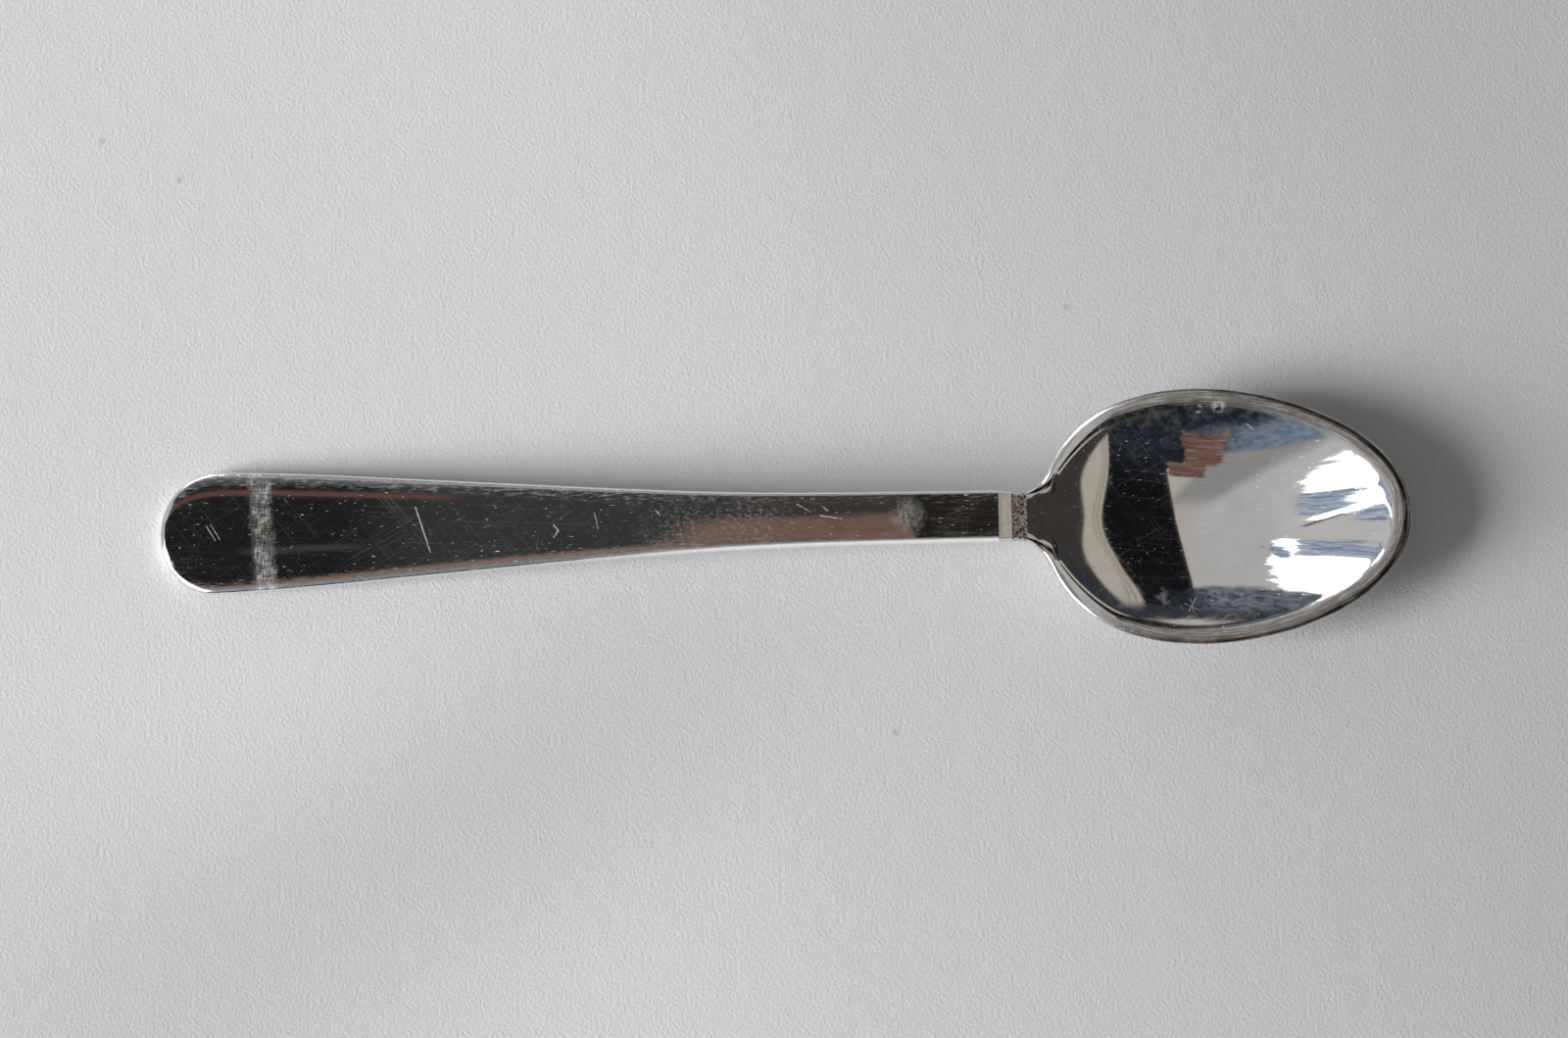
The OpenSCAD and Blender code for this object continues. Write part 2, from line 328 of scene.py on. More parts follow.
def scratch(x, y, start, end, wide):
    """One along a straight scratch between two points, and nothing beside it."""
    run = (end[0] - start[0], end[1] - start[1])
    square = run[0] ** 2 + run[1] ** 2
    dx, dy = x - start[0], y - start[1]
    t = clamp((dx * run[0] + dy * run[1]) / square)
    ox, oy = dx - t * run[0], dy - t * run[1]
    return 1 - ragged(root(ox * ox + oy * oy), 0.4 * wide, wide)


def cuts_at(x, y, cuts):
    """One on any of some straight scratches."""
    return clamp(sum((scratch(x, y, *cut) for cut in cuts), 0.0))


def spots_at(x, y, spots):
    """Sum of round spots, each with its centre, radius, soft edge and strength."""
    total = 0.0
    for centre, radius, soft, strength in spots:
        dx, dy = x - centre[0], y - centre[1]
        edge = ragged(root(dx * dx + dy * dy), radius - soft, radius + soft)
        total = total + strength * (1 - edge)
    return total


def hairs(tree, at, turn, long, close, over):
    """Fine scratches that run one way, where a stretched noise passes a level."""
    bend = tree.nodes.new("ShaderNodeMapping")
    bend.inputs["Rotation"].default_value = (0, 0, math.radians(turn))
    tree.links.new(at, bend.inputs["Vector"])
    lines = noise(tree, bend.outputs[0], 1.0, 1.0, 0.5, (1 / long, 1 / close, 1 / long))
    return ragged(lines, over, over + 0.05)


def raise_up(tree, shader, height, strength):
    """Gives a finish its fine relief, from a height in metres."""
    bump = tree.nodes.new("ShaderNodeBump")
    bump.inputs["Strength"].default_value = strength
    bump.inputs["Distance"].default_value = 1.0
    tree.links.new(height.socket, bump.inputs["Height"])
    tree.links.new(bump.outputs[0], shader.inputs["Normal"])


def silver(name, marks, used):
    """Silver plate, polished and long in use. For each place on the piece the marks
    give its scuffs, its whitish wear and matt painted highlights, its dark tarnish and
    its golden stains. Used is how strongly the fine scratches show."""
    bright, greyed = (0.88, 0.872, 0.85), (0.74, 0.71, 0.66)
    golden, tarnished = (0.62, 0.52, 0.36), (0.10, 0.075, 0.055)
    # Turn in degrees, length, distance and level of each run of fine scratches.
    runs = ((50, 0.009, 0.00009, 0.66), (-28, 0.008, 0.00008, 0.66),
            (4, 0.012, 0.00008, 0.66), (100, 0.004, 0.00009, 0.7))
    metal = bpy.data.materials.new(name)
    metal.use_nodes = True
    tree = metal.node_tree
    shader = tree.nodes["Principled BSDF"]
    x, y, z, at = place_on(tree)
    scuffs, matt, tarnish, stain = marks(tree, x, y, z, at)
    patches = noise(tree, at, 90.0, 3.0, 0.6)
    fine = clamp(sum((hairs(tree, at, *run) for run in runs), 0.0))
    fine = used * fine * ragged(patches, 0.3, 0.7)
    dashes = ragged(noise(tree, at, 1.0, 2.0, 0.6, (1300.0, 5500.0, 1300.0)), 0.68, 0.74)
    dashes = dashes * ragged(patches, 0.35, 0.6)
    specks = ragged(noise(tree, at, 3600.0, 2.0, 0.6), 0.71, 0.76)
    cloudy = ragged(noise(tree, at, 420.0, 3.0, 0.7), 0.35, 0.8)
    tone = lay(tree, bright, (
        (cloudy * 0.5, greyed), (stain, golden), (clamp(tarnish + 0.6 * specks), tarnished)))
    tree.links.new(tone, shader.inputs["Base Color"])
    rough = 0.03 + 0.05 * patches * patches + 0.15 * fine + 0.3 * dashes
    rough = rough + 0.3 * clamp(scuffs) + 0.12 * clamp(tarnish)
    tree.links.new(rough.socket, shader.inputs["Roughness"])
    metallic = 1 - clamp(0.3 * fine + 0.55 * dashes + matt)
    tree.links.new(metallic.socket, shader.inputs["Metallic"])
    dents = noise(tree, at, 260.0, 1.0) * 0.000003 - fine * 0.000001 - dashes * 0.000003
    dents = dents + clamp(scuffs) * noise(tree, at, 5200.0, 2.0) * 0.000008
    raise_up(tree, shader, dents, 1.0)
    return metal


# Start, end and width of each deeper scratch on the stem's face.
stem_cuts = (
    ((-0.0397, 0.0022), (-0.0381, -0.0027), 0.00009),
    ((-0.0627, 0.0008), (-0.0617, -0.0008), 0.00006),
    ((-0.0622, 0.0009), (-0.0612, -0.0007), 0.00006),
    ((0.0042, 0.0013), (0.0047, 0.0009), 0.00007),
    ((0.0015, 0.0016), (0.003, 0.0007), 0.00006),
    ((0.0040, 0.0003), (0.0063, -0.0001), 0.00008),
    ((-0.0247, -0.0001), (-0.0242, -0.0007), 0.00009),
    ((-0.0242, -0.0007), (-0.0247, -0.0014), 0.00009),
    ((-0.0137, 0.0013), (-0.0132, 0.0007), 0.00008),
    ((-0.0203, 0.0012), (-0.0199, -0.0006), 0.00006),
)


def stem_marks(tree, x, y, z, at):
    """Scratches along the face, a worn band near the round end, rubbed patches, a
    worn brim along each edge, small golden stains, and a painted highlight along the
    near edge towards the neck."""
    half = stem_half(blank, x)
    grain = noise(tree, at, 2400.0, 3.0, 0.65)
    lines = cuts_at(x, y, stem_cuts) * (0.35 + 0.65 * ragged(grain, 0.4, 0.55))

    worn_from, worn_to = -0.0576, -0.0554
    down = ragged(noise(tree, at, 1.0, 3.0, 0.7, (7000.0, 700.0, 1.0)), 0.42, 0.62)
    along = ragged(noise(tree, at, 1.0, 3.0, 0.7, (900.0, 7000.0, 1.0)), 0.45, 0.65)
    sway = 0.0012 * (noise(tree, at, 500.0, 3.0, 0.7) - 0.5)
    worn = band(x + 0.06 * y + sway, worn_from, worn_to, 0.0005)
    worn = worn * (0.05 + 0.6 * down + 0.45 * along)
    worn = worn * ragged(noise(tree, at, 600.0, 3.0, 0.7), 0.32, 0.6)

    far_brim = ease(y, half - 0.0019, half - 0.0007)
    near_brim = ease(-1.0 * y, half - 0.0016, half - 0.0006)
    brim = clamp(far_brim + 0.6 * near_brim) * (1 - 0.6 * ease(x, -0.02, 0.0))
    brim = brim * ragged(noise(tree, at, 1.0, 3.0, 0.75, (700.0, 4500.0, 1.0)), 0.5, 0.7)
    # A matt strip along the near edge towards the neck: a painted highlight standing in for the
    # pale paper mirrored in the flank.
    flank_highlight = ease(-1.0 * y, half - 0.00045, half - 0.00025) * ease(x, -0.03, -0.005)

    rubbed = clamp(spots_at(x, y, (
        ((-0.0109, -0.0008), 0.003, 0.0025, 1.0), ((-0.0027, 0.0), 0.003, 0.0025, 1.0))))
    rubbed = rubbed * ragged(noise(tree, at, 1.0, 4.0, 0.8, (1800.0, 3200.0, 1.0)), 0.5, 0.68)
    wisps = ragged(noise(tree, at, 1.0, 4.0, 0.75, (350.0, 3200.0, 1.0)), 0.5, 0.72)
    wisps = wisps * ragged(noise(tree, at, 170.0, 2.0), 0.45, 0.65) * ease(x, -0.04, -0.01)

    gold = spots_at(x, y, (
        ((-0.0563, 0.0004), 0.0006, 0.0004, 1.0), ((-0.0235, -0.001), 0.0002, 0.0001, 1.0)))
    smudge = spots_at(x, y, (((0.0134, 0.0001), 0.0012, 0.001, 1.0),))
    smudge = smudge * ragged(noise(tree, at, 1.0, 4.0, 0.8, (1800.0, 1300.0, 1.0)), 0.4, 0.62)

    scuffs = clamp(0.5 * lines + worn + 0.5 * brim + 0.5 * smudge + 0.5 * rubbed)
    matt = (0.45 * lines + 0.42 * worn + 0.3 * brim + 0.3 * smudge + 0.2 * rubbed
            + 0.07 * wisps + 0.6 * flank_highlight)
    tarnish = 0.0
    return scuffs, matt, tarnish, clamp(gold + 0.5 * smudge)


blank = SimpleNamespace(**blank_sizes)
stem_silver = silver("silver_stem", stem_marks, used=0.2)
stem_rules = loft_tree("stem_loft", blank_sizes, along=240, around=192)
stem = make_from_tree("stem_bar", stem_rules, dict(
    start=blank.turn_x, stop=blank.neck_x, silver=stem_silver))
close_up(stem)
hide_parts("stem")
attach(stem, "root")


# Round end. The broad end of the stem, stamped with it from the same metal,
# with softly rounded edges, and turned down until its edge meets the table.

end_silver = silver("silver_round_end", stem_marks, used=0.2)
tip_inset = 0.0000125
round_end = make_from_tree("round_end", stem_rules, dict(
    start=blank.turn_x, stop=blank.end_x + tip_inset, closing=1.0, silver=end_silver))
close_up(round_end)
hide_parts("stem_end")
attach(round_end, "root")


# Bowl. An egg-shaped bowl raised from the same metal, thin and evenly dished,
# with a narrow flat rim. It begins at the neck with a short flat facet that
# leads down from the stem's face, and its shoulders sweep out into the egg.

# The place of the egg's widest part is the blank's. Lengths are in metres.
bowl = SimpleNamespace(
    sweep_x=0.029126, full_x=0.0302, thin_x=0.037,
    width=0.0278, front=0.0229, rear=0.0171, fullness=0.45,
    rim_z=0.0072, rim_w=0.0013, rim_h=0.00095, rim_lift=0.0002, rim_round=0.00115,
    rim_ease=0.0006, lip=0.0004, shoulder=0.0049, shoulder_round=0.0009, wear=0.00008,
)
slope_step = 0.00005


def egg_place(x, front, rear):
    """Place along an egg's length, from -1 at its rear tip to 1 at its front tip."""
    skew = (front - rear) / (front + rear)
    t = x - blank.wide_x
    return t / (front * (1 - skew) + skew * t)


def egg_half(x, half, front, rear):
    """Half width of an egg."""
    place = egg_place(x, front, rear)
    return half * np.power(np.maximum(0, 1 - place * place), bowl.fullness)


def bowl_half(x): return egg_half(x, bowl.width / 2, bowl.front, bowl.rear)


def half_w(x):
    """Half width of the shoulders, which sweep out from the stem, and of the bowl."""
    ahead, behind = bowl_half(bowl.sweep_x + slope_step), bowl_half(bowl.sweep_x - slope_step)
    shoulder = cubic(x, blank.neck_x, bowl.sweep_x, stem_half(blank, blank.neck_x),
                     bowl_half(bowl.sweep_x), 0.0, (ahead - behind) / (2 * slope_step))
    return np.where(x >= bowl.sweep_x, bowl_half(np.maximum(x, bowl.sweep_x)), shoulder)


def rim_at(x): return bowl.rim_z + bowl.rim_lift * ((x - blank.wide_x) / bowl.front) ** 2


def inside_z(x):
    """Height of the facet and of the hollow along the middle of the bowl."""
    place = np.clip(egg_place(x, bowl.front - bowl.rim_w, bowl.rear - bowl.rim_w), 0, 1)
    front = mix(blank.floor_t, rim_at(x), place ** 2)
    hollow = np.where(x <= blank.wide_x, hollow_z(blank, x), front)
    return np.where(x <= blank.foot_x, facet_z(blank, x), hollow)


def edge_round(x):
    """Reach of the rounded edge: broad along the shoulders, then even round the rim."""
    opened = ease(x, blank.foot_x, bowl.full_x)
    shoulder = opened * (1 - ease(x, bowl.full_x, bowl.thin_x))
    return mix(blank.neck_round, bowl.rim_round, opened) + bowl.shoulder_round * shoulder


def heights_at(x):
    """How far the shoulders have opened, then the heights of the face, of the rim's
    top and underside, and of the back, for each place along the bowl."""
    reach = ease(x, blank.neck_x, blank.neck_x + 2 * bowl.shoulder)
    crown = blank.face_crown * blank.neck_crown * (1 - ease(x, blank.neck_x, blank.foot_x))
    face = face_z(blank, x)
    rim = -lower_of(-facet_z(blank, x), -rim_at(x), bowl.rim_ease)
    top = lower_of(face, rim, blank.facet_round) - crown
    low = top - mix(blank.neck_t - blank.under_crown, bowl.rim_h, reach)
    thick = mix(blank.neck_t, blank.floor_t + bowl.wear, ease(x, blank.neck_x, blank.wide_x))
    under = lower_of(face, hollow_z(blank, x), blank.heel_round) - thick
    return reach, face, top, low, under


def profile(half, dish, flat, middle, top, under, low, lip, rise_in, rise_under):
    """From the middle of the top out over the rim and back to the middle of the
    underside, as distances out and heights, for each row of sizes."""
    dish_steps, rim_steps, edge_steps = 57, 10, 13
    u = np.linspace(0, 1, dish_steps)[None, :]
    on_rim = np.linspace(0.1, 0.95, rim_steps)[None, :]
    turn = np.linspace(math.pi / 2, -math.pi / 2, edge_steps)[None, :]
    half_round = (top - low) / 2
    out_top = np.concatenate([dish * u, mix(dish, flat, on_rim)], 1)
    up_top = lower_of(mix(middle, top, rise_in(out_top / dish)), top, lip)
    out_edge = flat + (half - flat) * np.cos(turn)
    up_edge = top - half_round + half_round * np.sin(turn)
    back = u[:, ::-1][:, 1:]
    up_low = np.maximum(0, mix(under, low, rise_under(back)))
    out = np.concatenate([out_top, out_edge, flat * back], 1)
    return out, np.concatenate([up_top, up_edge, up_low], 1)


def rim_place(rim_x, rim_y, inward, on_rim):
    """What the finish reads on the bowl: the way round the rim, the way in from the
    edge, and one on the rim's flat and nothing in the dish."""
    run = np.hypot(np.diff(rim_x), np.diff(rim_y))
    along = np.concatenate([[0], np.cumsum(run)])[:, None]
    return np.stack([np.broadcast_to(along, inward.shape), inward, on_rim], 2)


def on_flat(out, dish):
    """One on the rim's flat, from a soft inner edge outwards."""
    return ease(out, dish - 0.0003, dish + 0.0002)


def rear_rows(x):
    """One closed section of the shoulders and the rear half for each place x."""
    x = np.asarray(x)[:, None]
    reach, face, top, low, under = heights_at(x)
    half = half_w(x)
    lean = (half_w(x + slope_step) - half_w(x - slope_step)) / (2 * slope_step)
    flat = half - np.minimum(edge_round(x), half / 2)
    dish = half - mix(blank.neck_round, bowl.rim_w, reach) * np.sqrt(1 + lean * lean)
    dish = np.maximum(0.25 * flat, np.minimum(0.97 * flat, dish))
    middle = lower_of(face, inside_z(x), blank.facet_round)
    lip = np.maximum(0.000001, bowl.lip * ease(x, blank.foot_x, bowl.full_x))
    out, up = profile(half, dish, flat, middle, top, under, low, lip, np.square, np.square)
    rows = np.stack([np.broadcast_to(x, out.shape), out, up], 2)
    on_rim = on_flat(out, dish) * ease(x, blank.foot_x, bowl.full_x + 0.003)
    return rows, rim_place(x[:, 0], half[:, 0], half - out, on_rim)


def front_rays(count=260):
    """The front half, as half sections that fan out from the middle of the bowl."""
    tip_inset, brim_rise = 0.99945, 1.8
    turn = np.linspace(0, math.pi, count)[:, None]
    place = np.sin(turn)
    skew = (bowl.front - bowl.rear) / (bowl.front + bowl.rear)
    run_x = tip_inset * place * bowl.front * (1 - skew) / (1 - skew * place)
    side = np.cos(turn)
    run_y = bowl.width / 2 * np.sign(side) * np.abs(side) ** (2 * bowl.fullness)
    way_x, way_y = np.gradient(run_x[:, 0])[:, None], np.gradient(run_y[:, 0])[:, None]
    half = np.hypot(run_x, run_y)
    square = np.abs(run_x * way_y - run_y * way_x) / (half * np.hypot(way_x, way_y))
    square[[0, -1]] = 1.0
    flat = half - bowl.rim_round / square
    dish = np.minimum(0.97 * flat, half - bowl.rim_w / square)

    def rise(s):
        inner = np.minimum(s, 1)
        p = np.minimum(egg_place(blank.wide_x + run_x * inner, bowl.front, bowl.rear), 1)
        across = (2 * run_y * inner / bowl.width) ** 2
        shape = p * p + np.power(1 - p * p, 1 - 2 * bowl.fullness) * across
        return shape + brim_rise * np.maximum(0, s - 1)

    top = rim_at(blank.wide_x + run_x)
    out, up = profile(half, dish, flat, blank.floor_t, top, -bowl.wear, top - bowl.rim_h,
                      bowl.lip, rise, rise)
    rays = np.stack([blank.wide_x + out * run_x / half, out * run_y / half, up], 2)
    inward = (half - out) * square
    return rays, rim_place(run_x[:, 0], run_y[:, 0], inward, on_flat(out, dish))


def make_solid(name, points, faces, material):
    """A piece from points and faces worked out in numbers."""
    mesh = bpy.data.meshes.new(name)
    mesh.from_pydata(points.tolist(), [], faces)
    mesh.materials.append(material)
    mesh.shade_smooth()
    piece = bpy.data.objects.new(name, mesh)
    shapes.objects.link(piece)
    close_up(piece)
    return piece


def between(a, b):
    """The quads between two rows of points, without those that have closed up."""
    quads = zip(a[:-1], a[1:], b[1:], b[:-1])
    corners = (list(dict.fromkeys(int(i) for i in quad)) for quad in quads)
    return [face for face in corners if len(face) > 2]


# Start, end and width of each deeper scratch in the bowl.
bowl_cuts = (
    ((0.0438, -0.0102), (0.0447, -0.0087), 0.00008),
    ((0.0441, -0.0088), (0.0443, -0.0103), 0.00006),
    ((0.0434, -0.0093), (0.045, -0.0101), 0.00006),
    ((0.0506, 0.0101), (0.0513, 0.0095), 0.00006),
)


def bowl_marks(tree, x, y, z, at):
    """A scuffed, dulled rim, tarnish at the foot of the facet, and pale stains."""
    rim_node = tree.nodes.new("ShaderNodeAttribute")
    rim_node.attribute_name = "rim_place"
    split = tree.nodes.new("ShaderNodeSeparateXYZ")
    tree.links.new(rim_node.outputs["Vector"], split.inputs[0])
    on_rim = Field(tree, split.outputs[2])
    grain = noise(tree, at, 3600.0, 4.0, 0.75)
    streaks = noise(tree, rim_node.outputs["Vector"], 1.0, 2.0, 0.6, (260.0, 6500.0, 0.0))

    above_back = below(0.008, z)
    foot = band(x, 0.02459, 0.02622, 0.00004) * above_back
    crease = band(x, 0.02455, 0.02463, 0.00002) * above_back
    spots = foot * ragged(grain, 0.48, 0.56) + crease * 0.8

    blotches = ragged(noise(tree, at, 500.0, 3.0, 0.7), 0.35, 0.7)
    dull = on_rim * (0.55 - 0.45 * ragged(streaks, 0.45, 0.7) + 0.25 * blotches)
    dull = dull * ease(x, 0.03, 0.04)

    pale = spots_at(x, y, (
        ((0.0453, 0.0117), 0.0004, 0.0001, 1.0), ((0.0474, 0.0121), 0.0007, 0.0003, 1.0),
        ((0.041, -0.0082), 0.0006, 0.0003, 0.7), ((0.0414, -0.0091), 0.0004, 0.0002, 0.6)))
    pale = 0.6 * pale * ragged(noise(tree, at, 1500.0, 2.0), 0.4, 0.55)
    lines = cuts_at(x, y, bowl_cuts) * ragged(grain, 0.35, 0.5)
    gold = spots_at(x, y, (((0.0393, -0.0061), 0.00016, 0.00005, 1.0),))
    ends = ease(size(y), 0.006, 0.0095) * ragged(noise(tree, at, 900.0, 3.0, 0.7), 0.45, 0.75)

    scuffs = on_rim * (0.15 + 0.55 * ragged(streaks, 0.45, 0.75))
    scuffs = scuffs + 0.4 * foot + 0.25 * ends + 0.8 * pale
    matt = 0.06 * ends + 0.4 * lines + 0.5 * pale + 0.25 * on_rim * ragged(streaks, 0.55, 0.8)
    return scuffs, matt, clamp(spots + dull), clamp(gold + 0.25 * pale)


bowl_silver = silver("silver_bowl", bowl_marks, used=0.35)

# Sections stand closer at the neck and on both sides of the crease.
crease_gap = 0.00003
rear_x = np.sort(np.append(np.linspace(blank.neck_x, blank.wide_x, 150), [
    blank.neck_x + 0.00001, blank.foot_x - crease_gap, blank.foot_x, blank.foot_x + crease_gap]))
rear, rear_marks = rear_rows(rear_x)
rays, ray_marks = front_rays()
mirrored = rear * (1, -1, 1)
far_marks = rear_marks * (-1, 1, 1)
far_marks[:, :, 0] += 2 * rear_marks[-1, 0, 0] + ray_marks[-1, 0, 0]
ray_marks[:, :, 0] += rear_marks[-1, 0, 0]

# The rear sections are closed rings, and the front rays share the last ring.
count, steps = rear.shape[:2]
around = 2 * steps - 2
ring = np.concatenate([rear, mirrored[:, -2:0:-1]], 1).reshape(-1, 3)
ring_marks = np.concatenate([rear_marks, far_marks[:, -2:0:-1]], 1).reshape(-1, 3)
rings = np.arange(count * around).reshape(count, around)
fan = np.arange(len(rays) * steps).reshape(len(rays), steps) + len(ring)
fan[:, 0], fan[:, -1] = rings[-1, 0], rings[-1, steps - 1]
fan[0] = rings[-1, :steps]
fan[-1, 1:-1] = rings[-1, :steps - 1:-1]
faces = [rings[0][::-1].tolist()]
for a, b in zip(rings[:-1], rings[1:]):
    faces += between(np.append(a, a[0]), np.append(b, b[0]))
for a, b in zip(fan[:-1], fan[1:]):
    faces += between(a, b)
kept = np.unique(np.concatenate([np.array(f) for f in faces]))
named = dict(zip(kept.tolist(), range(len(kept))))
faces = [[named[i] for i in f] for f in faces]
points = np.concatenate([ring, rays.reshape(-1, 3)])[kept]
marks = np.concatenate([ring_marks, ray_marks.reshape(-1, 3)])[kept]
dished = make_solid("dished_bowl", points, faces, bowl_silver)
layer = dished.data.attributes.new("rim_place", "FLOAT_VECTOR", "POINT")
layer.data.foreach_set("vector", marks.reshape(-1))
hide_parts("bowl")
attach(dished, "root")


# Drop. The tongue of metal that carries the stem's underside on over the back
# of the bowl. It is struck with the bowl and ends in a half round.

drop = SimpleNamespace(
    stop_x=0.03405, width=0.0046, height=0.0008, full=0.6, fullness=0.6,
    seat=0.00001, tip_inset=0.0000125,
)


def drop_rows(x, steps=28):
    """One closed section of the tongue for each place x: its seat on the bowl's
    back, and its rounded face below."""
    x = np.asarray(x)[:, None]
    half = drop.width / 2 * quarter((drop.stop_x - x) * 2 / drop.width)
    full_x = blank.neck_x + drop.full * (drop.stop_x - blank.neck_x)
    grow = ease(x, blank.neck_x - drop.tip_inset, full_x)
    rise = drop.height * grow * quarter((drop.stop_x - x) / drop.height)
    _, _, _, low, under = heights_at(x)
    back_half = half_w(x) - edge_round(x)

    def back_at(y): return np.maximum(0, mix(under, low, (y / back_half) ** 2)) - drop.seat

    seat_y = half * np.linspace(-1, 1, steps + 1)[None, :]
    turn = np.linspace(0, math.pi, steps + 1)[None, 1:-1]
    face_y = half * np.cos(turn)
    face = back_at(face_y) - rise * np.sin(turn) ** drop.fullness
    y = np.concatenate([seat_y, face_y], 1)
    z = np.concatenate([back_at(seat_y), face], 1)
    return np.stack([np.broadcast_to(x, y.shape), y, z], 2)


drop_silver = silver("silver_drop", stem_marks, used=0.35)
drop_run = drop.stop_x - blank.neck_x - drop.tip_inset
drop_x = blank.neck_x + drop_run * np.sin(np.linspace(0, math.pi / 2, 60))
rows = drop_rows(drop_x)
rings = np.arange(rows.shape[0] * rows.shape[1]).reshape(rows.shape[:2])
faces = [rings[0][::-1].tolist(), rings[-1].tolist()]
for a, b in zip(rings[:-1], rings[1:]):
    faces += between(np.append(a, a[0]), np.append(b, b[0]))
tongue = make_solid("heel_drop", rows.reshape(-1, 3), faces, drop_silver)
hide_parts("drop")
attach(tongue, "root")


# Paper. The spoon lies on a sheet of plain pale paper with a fine tooth. It is a little
# buckled and has four specks. Its colour carries painted shade: greyer on the side away
# from the window and towards a near corner, and a painted shadow band on the near left.

paper_reach, paper_drop = 3.0, 0.00002
paper_white, paper_shade_grey, speck_grey = (0.645, 0.645, 0.648), (0.43, 0.43, 0.43), (0.3, 0.28, 0.25)
paper_specks = ((-0.0661, 0.0396), (-0.0747, 0.0441), (0.0318, 0.0242), (0.0121, -0.0226))
speck_radius, speck_soft = 0.0003, 0.0002


def flat_sheet(name, corners, level):
    """A plain flat sheet at one level, with a material of its own."""
    mesh = bpy.data.meshes.new(name)
    mesh.from_pydata([(*c, level) for c in corners], [], [list(range(len(corners)))])
    sheet = bpy.data.objects.new(name, mesh)
    shapes.objects.link(sheet)
    finish = bpy.data.materials.new(name)
    finish.use_nodes = True
    mesh.materials.append(finish)
    return sheet, finish


paper, paper_finish = flat_sheet("paper", [
    (-paper_reach, -paper_reach), (paper_reach, -paper_reach),
    (paper_reach, paper_reach), (-paper_reach, paper_reach)], 0.0)
paper.location.z = -paper_drop
tree = paper_finish.node_tree
shader = tree.nodes["Principled BSDF"]
shader.inputs["Roughness"].default_value = 0.9
shader.inputs["Specular IOR Level"].default_value = 0.2
px, py, pz, at = place_on(tree)
# Painted shade: greyer away from the window and towards the near corner, with a faint random
# mottle.
corner = ease(size(px - 0.04) + 0.4 * size(py), 0.07, 0.14) * ease(py, -0.01, -0.05)
shade_and_mottle = ease(px + 0.15 * py, -0.06, 0.11) + 0.35 * (noise(tree, at, 14.0, 1.0) - 0.5)
shade_and_mottle = shade_and_mottle + 0.35 * corner

# A painted shadow: a soft darker band runs slantwise over the near left part of the sheet.
shadow_band_x, shadow_band_y, shadow_band_half = px + 0.036, py + 0.03, 0.06
run, off = 0.866 * shadow_band_x + 0.5 * shadow_band_y, 0.866 * shadow_band_y - 0.5 * shadow_band_x
shade_and_mottle = shade_and_mottle + 0.4 * (1 - ease(root(run * run + 5.0 * off * off), 0.0, shadow_band_half))

specks = spots_at(px, py, [(place, speck_radius, speck_soft, 1.0) for place in paper_specks])
tone = lay(tree, paper_white, ((clamp(shade_and_mottle), paper_shade_grey), (specks * 0.5, speck_grey)))
tree.links.new(tone, shader.inputs["Base Color"])
tooth = noise(tree, at, 2600.0, 3.0, 0.75) * 0.00023 + noise(tree, at, 300.0, 2.0) * 0.0001
raise_up(tree, shader, tooth, 0.5)


# Room. Soft daylight from windows at the left of a plain room: a grey ceiling,
# a dark wall, a brown board on it, and a pale strip below. It is painted by
# direction, where x runs along the spoon, y across it and z up.

world = bpy.data.worlds.new("room")
bpy.context.scene.world = world
world.use_nodes = True
tree = world.node_tree
x, y, z, at = place_on(tree, "Generated")
jag = noise(tree, at, 26.0, 3.0, 0.7, (0.35, 1.0, 0.35)) - 0.5

ceiling_grey, ceiling_warm = (0.44, 0.44, 0.445), (0.43, 0.41, 0.375)
ceiling_pale, ceiling_shade = (0.50, 0.50, 0.51), (0.2, 0.2, 0.205)
shade = band(x - 0.64 * y, 0.1, 0.5, 0.08) * (1 - ease(y, -0.35, 0.0))
ceiling = lay(tree, ceiling_grey, (
    (ease(x, 0.02, 0.34), ceiling_warm),
    (ease(x, -0.25, -0.5), ceiling_pale),
    (shade * 0.75, ceiling_shade)))

# The dusky side of the room, with its blue haze and mottled lights.
dusk, dusk_blue, dusk_light = (0.012, 0.015, 0.023), (0.13, 0.18, 0.25), (0.36, 0.46, 0.58)
dusk_end = (0.013, 0.017, 0.026)
side = ease(y + 0.08 * jag + 0.1 * ease(x, -0.36, -0.45), -0.76, -0.8)
mottle = ragged(noise(tree, at, 45.0, 4.0, 0.8), 0.45, 0.65)
haze = lay(tree, dusk, (
    (ease(x, 0.2, -0.45), dusk_blue), (mottle * ease(x, 0.2, -0.1) * 0.5, dusk_light)))
room = lay(tree, ceiling, ((side, haze), (ease(y, -0.88, -0.95), dusk_end)))

# The dark wall, with a warm line along its edge.
wall_edge = 0.32 - 0.1 * y - 0.09 * y * y - 0.16 * ease(y + 0.1 * jag, -0.6, -0.72)
wall_black, wall_blue = (0.006, 0.006, 0.0075), (0.011, 0.014, 0.021)
wall_warm = (0.04, 0.034, 0.03)
edge_line = (1 - ease(x - wall_edge, 0.0, 0.035)) * ease(y, -0.62, -0.55)
wall = lay(tree, wall_black, ((ease(y, -0.35, -0.75), wall_blue), (edge_line, wall_warm)))
room = paint(tree, room, ease(x - wall_edge, -0.006, 0.006), wall)

# The brown board, in two steps, with grooves.
board_brown, board_light = (0.15, 0.082, 0.064), (0.33, 0.23, 0.2)
board_dark = (0.06, 0.038, 0.032)
board = band(x + 0.12 * jag, -0.04, 0.2, 0.012) * band(y + 0.1 * jag, -0.89, -0.68, 0.012)
board = clamp(board + band(x + 0.1 * jag, 0.04, 0.33, 0.012) * band(y, -0.69, -0.55, 0.008))
grooves = noise(tree, at, 1.0, 3.0, 0.7, (5.0, 75.0, 5.0))
room = lay(tree, room, (
    (board, board_brown),
    (board * ragged(grooves, 0.55, 0.66), board_light),
    (board * (1 - ragged(grooves, 0.36, 0.45)), board_dark)))

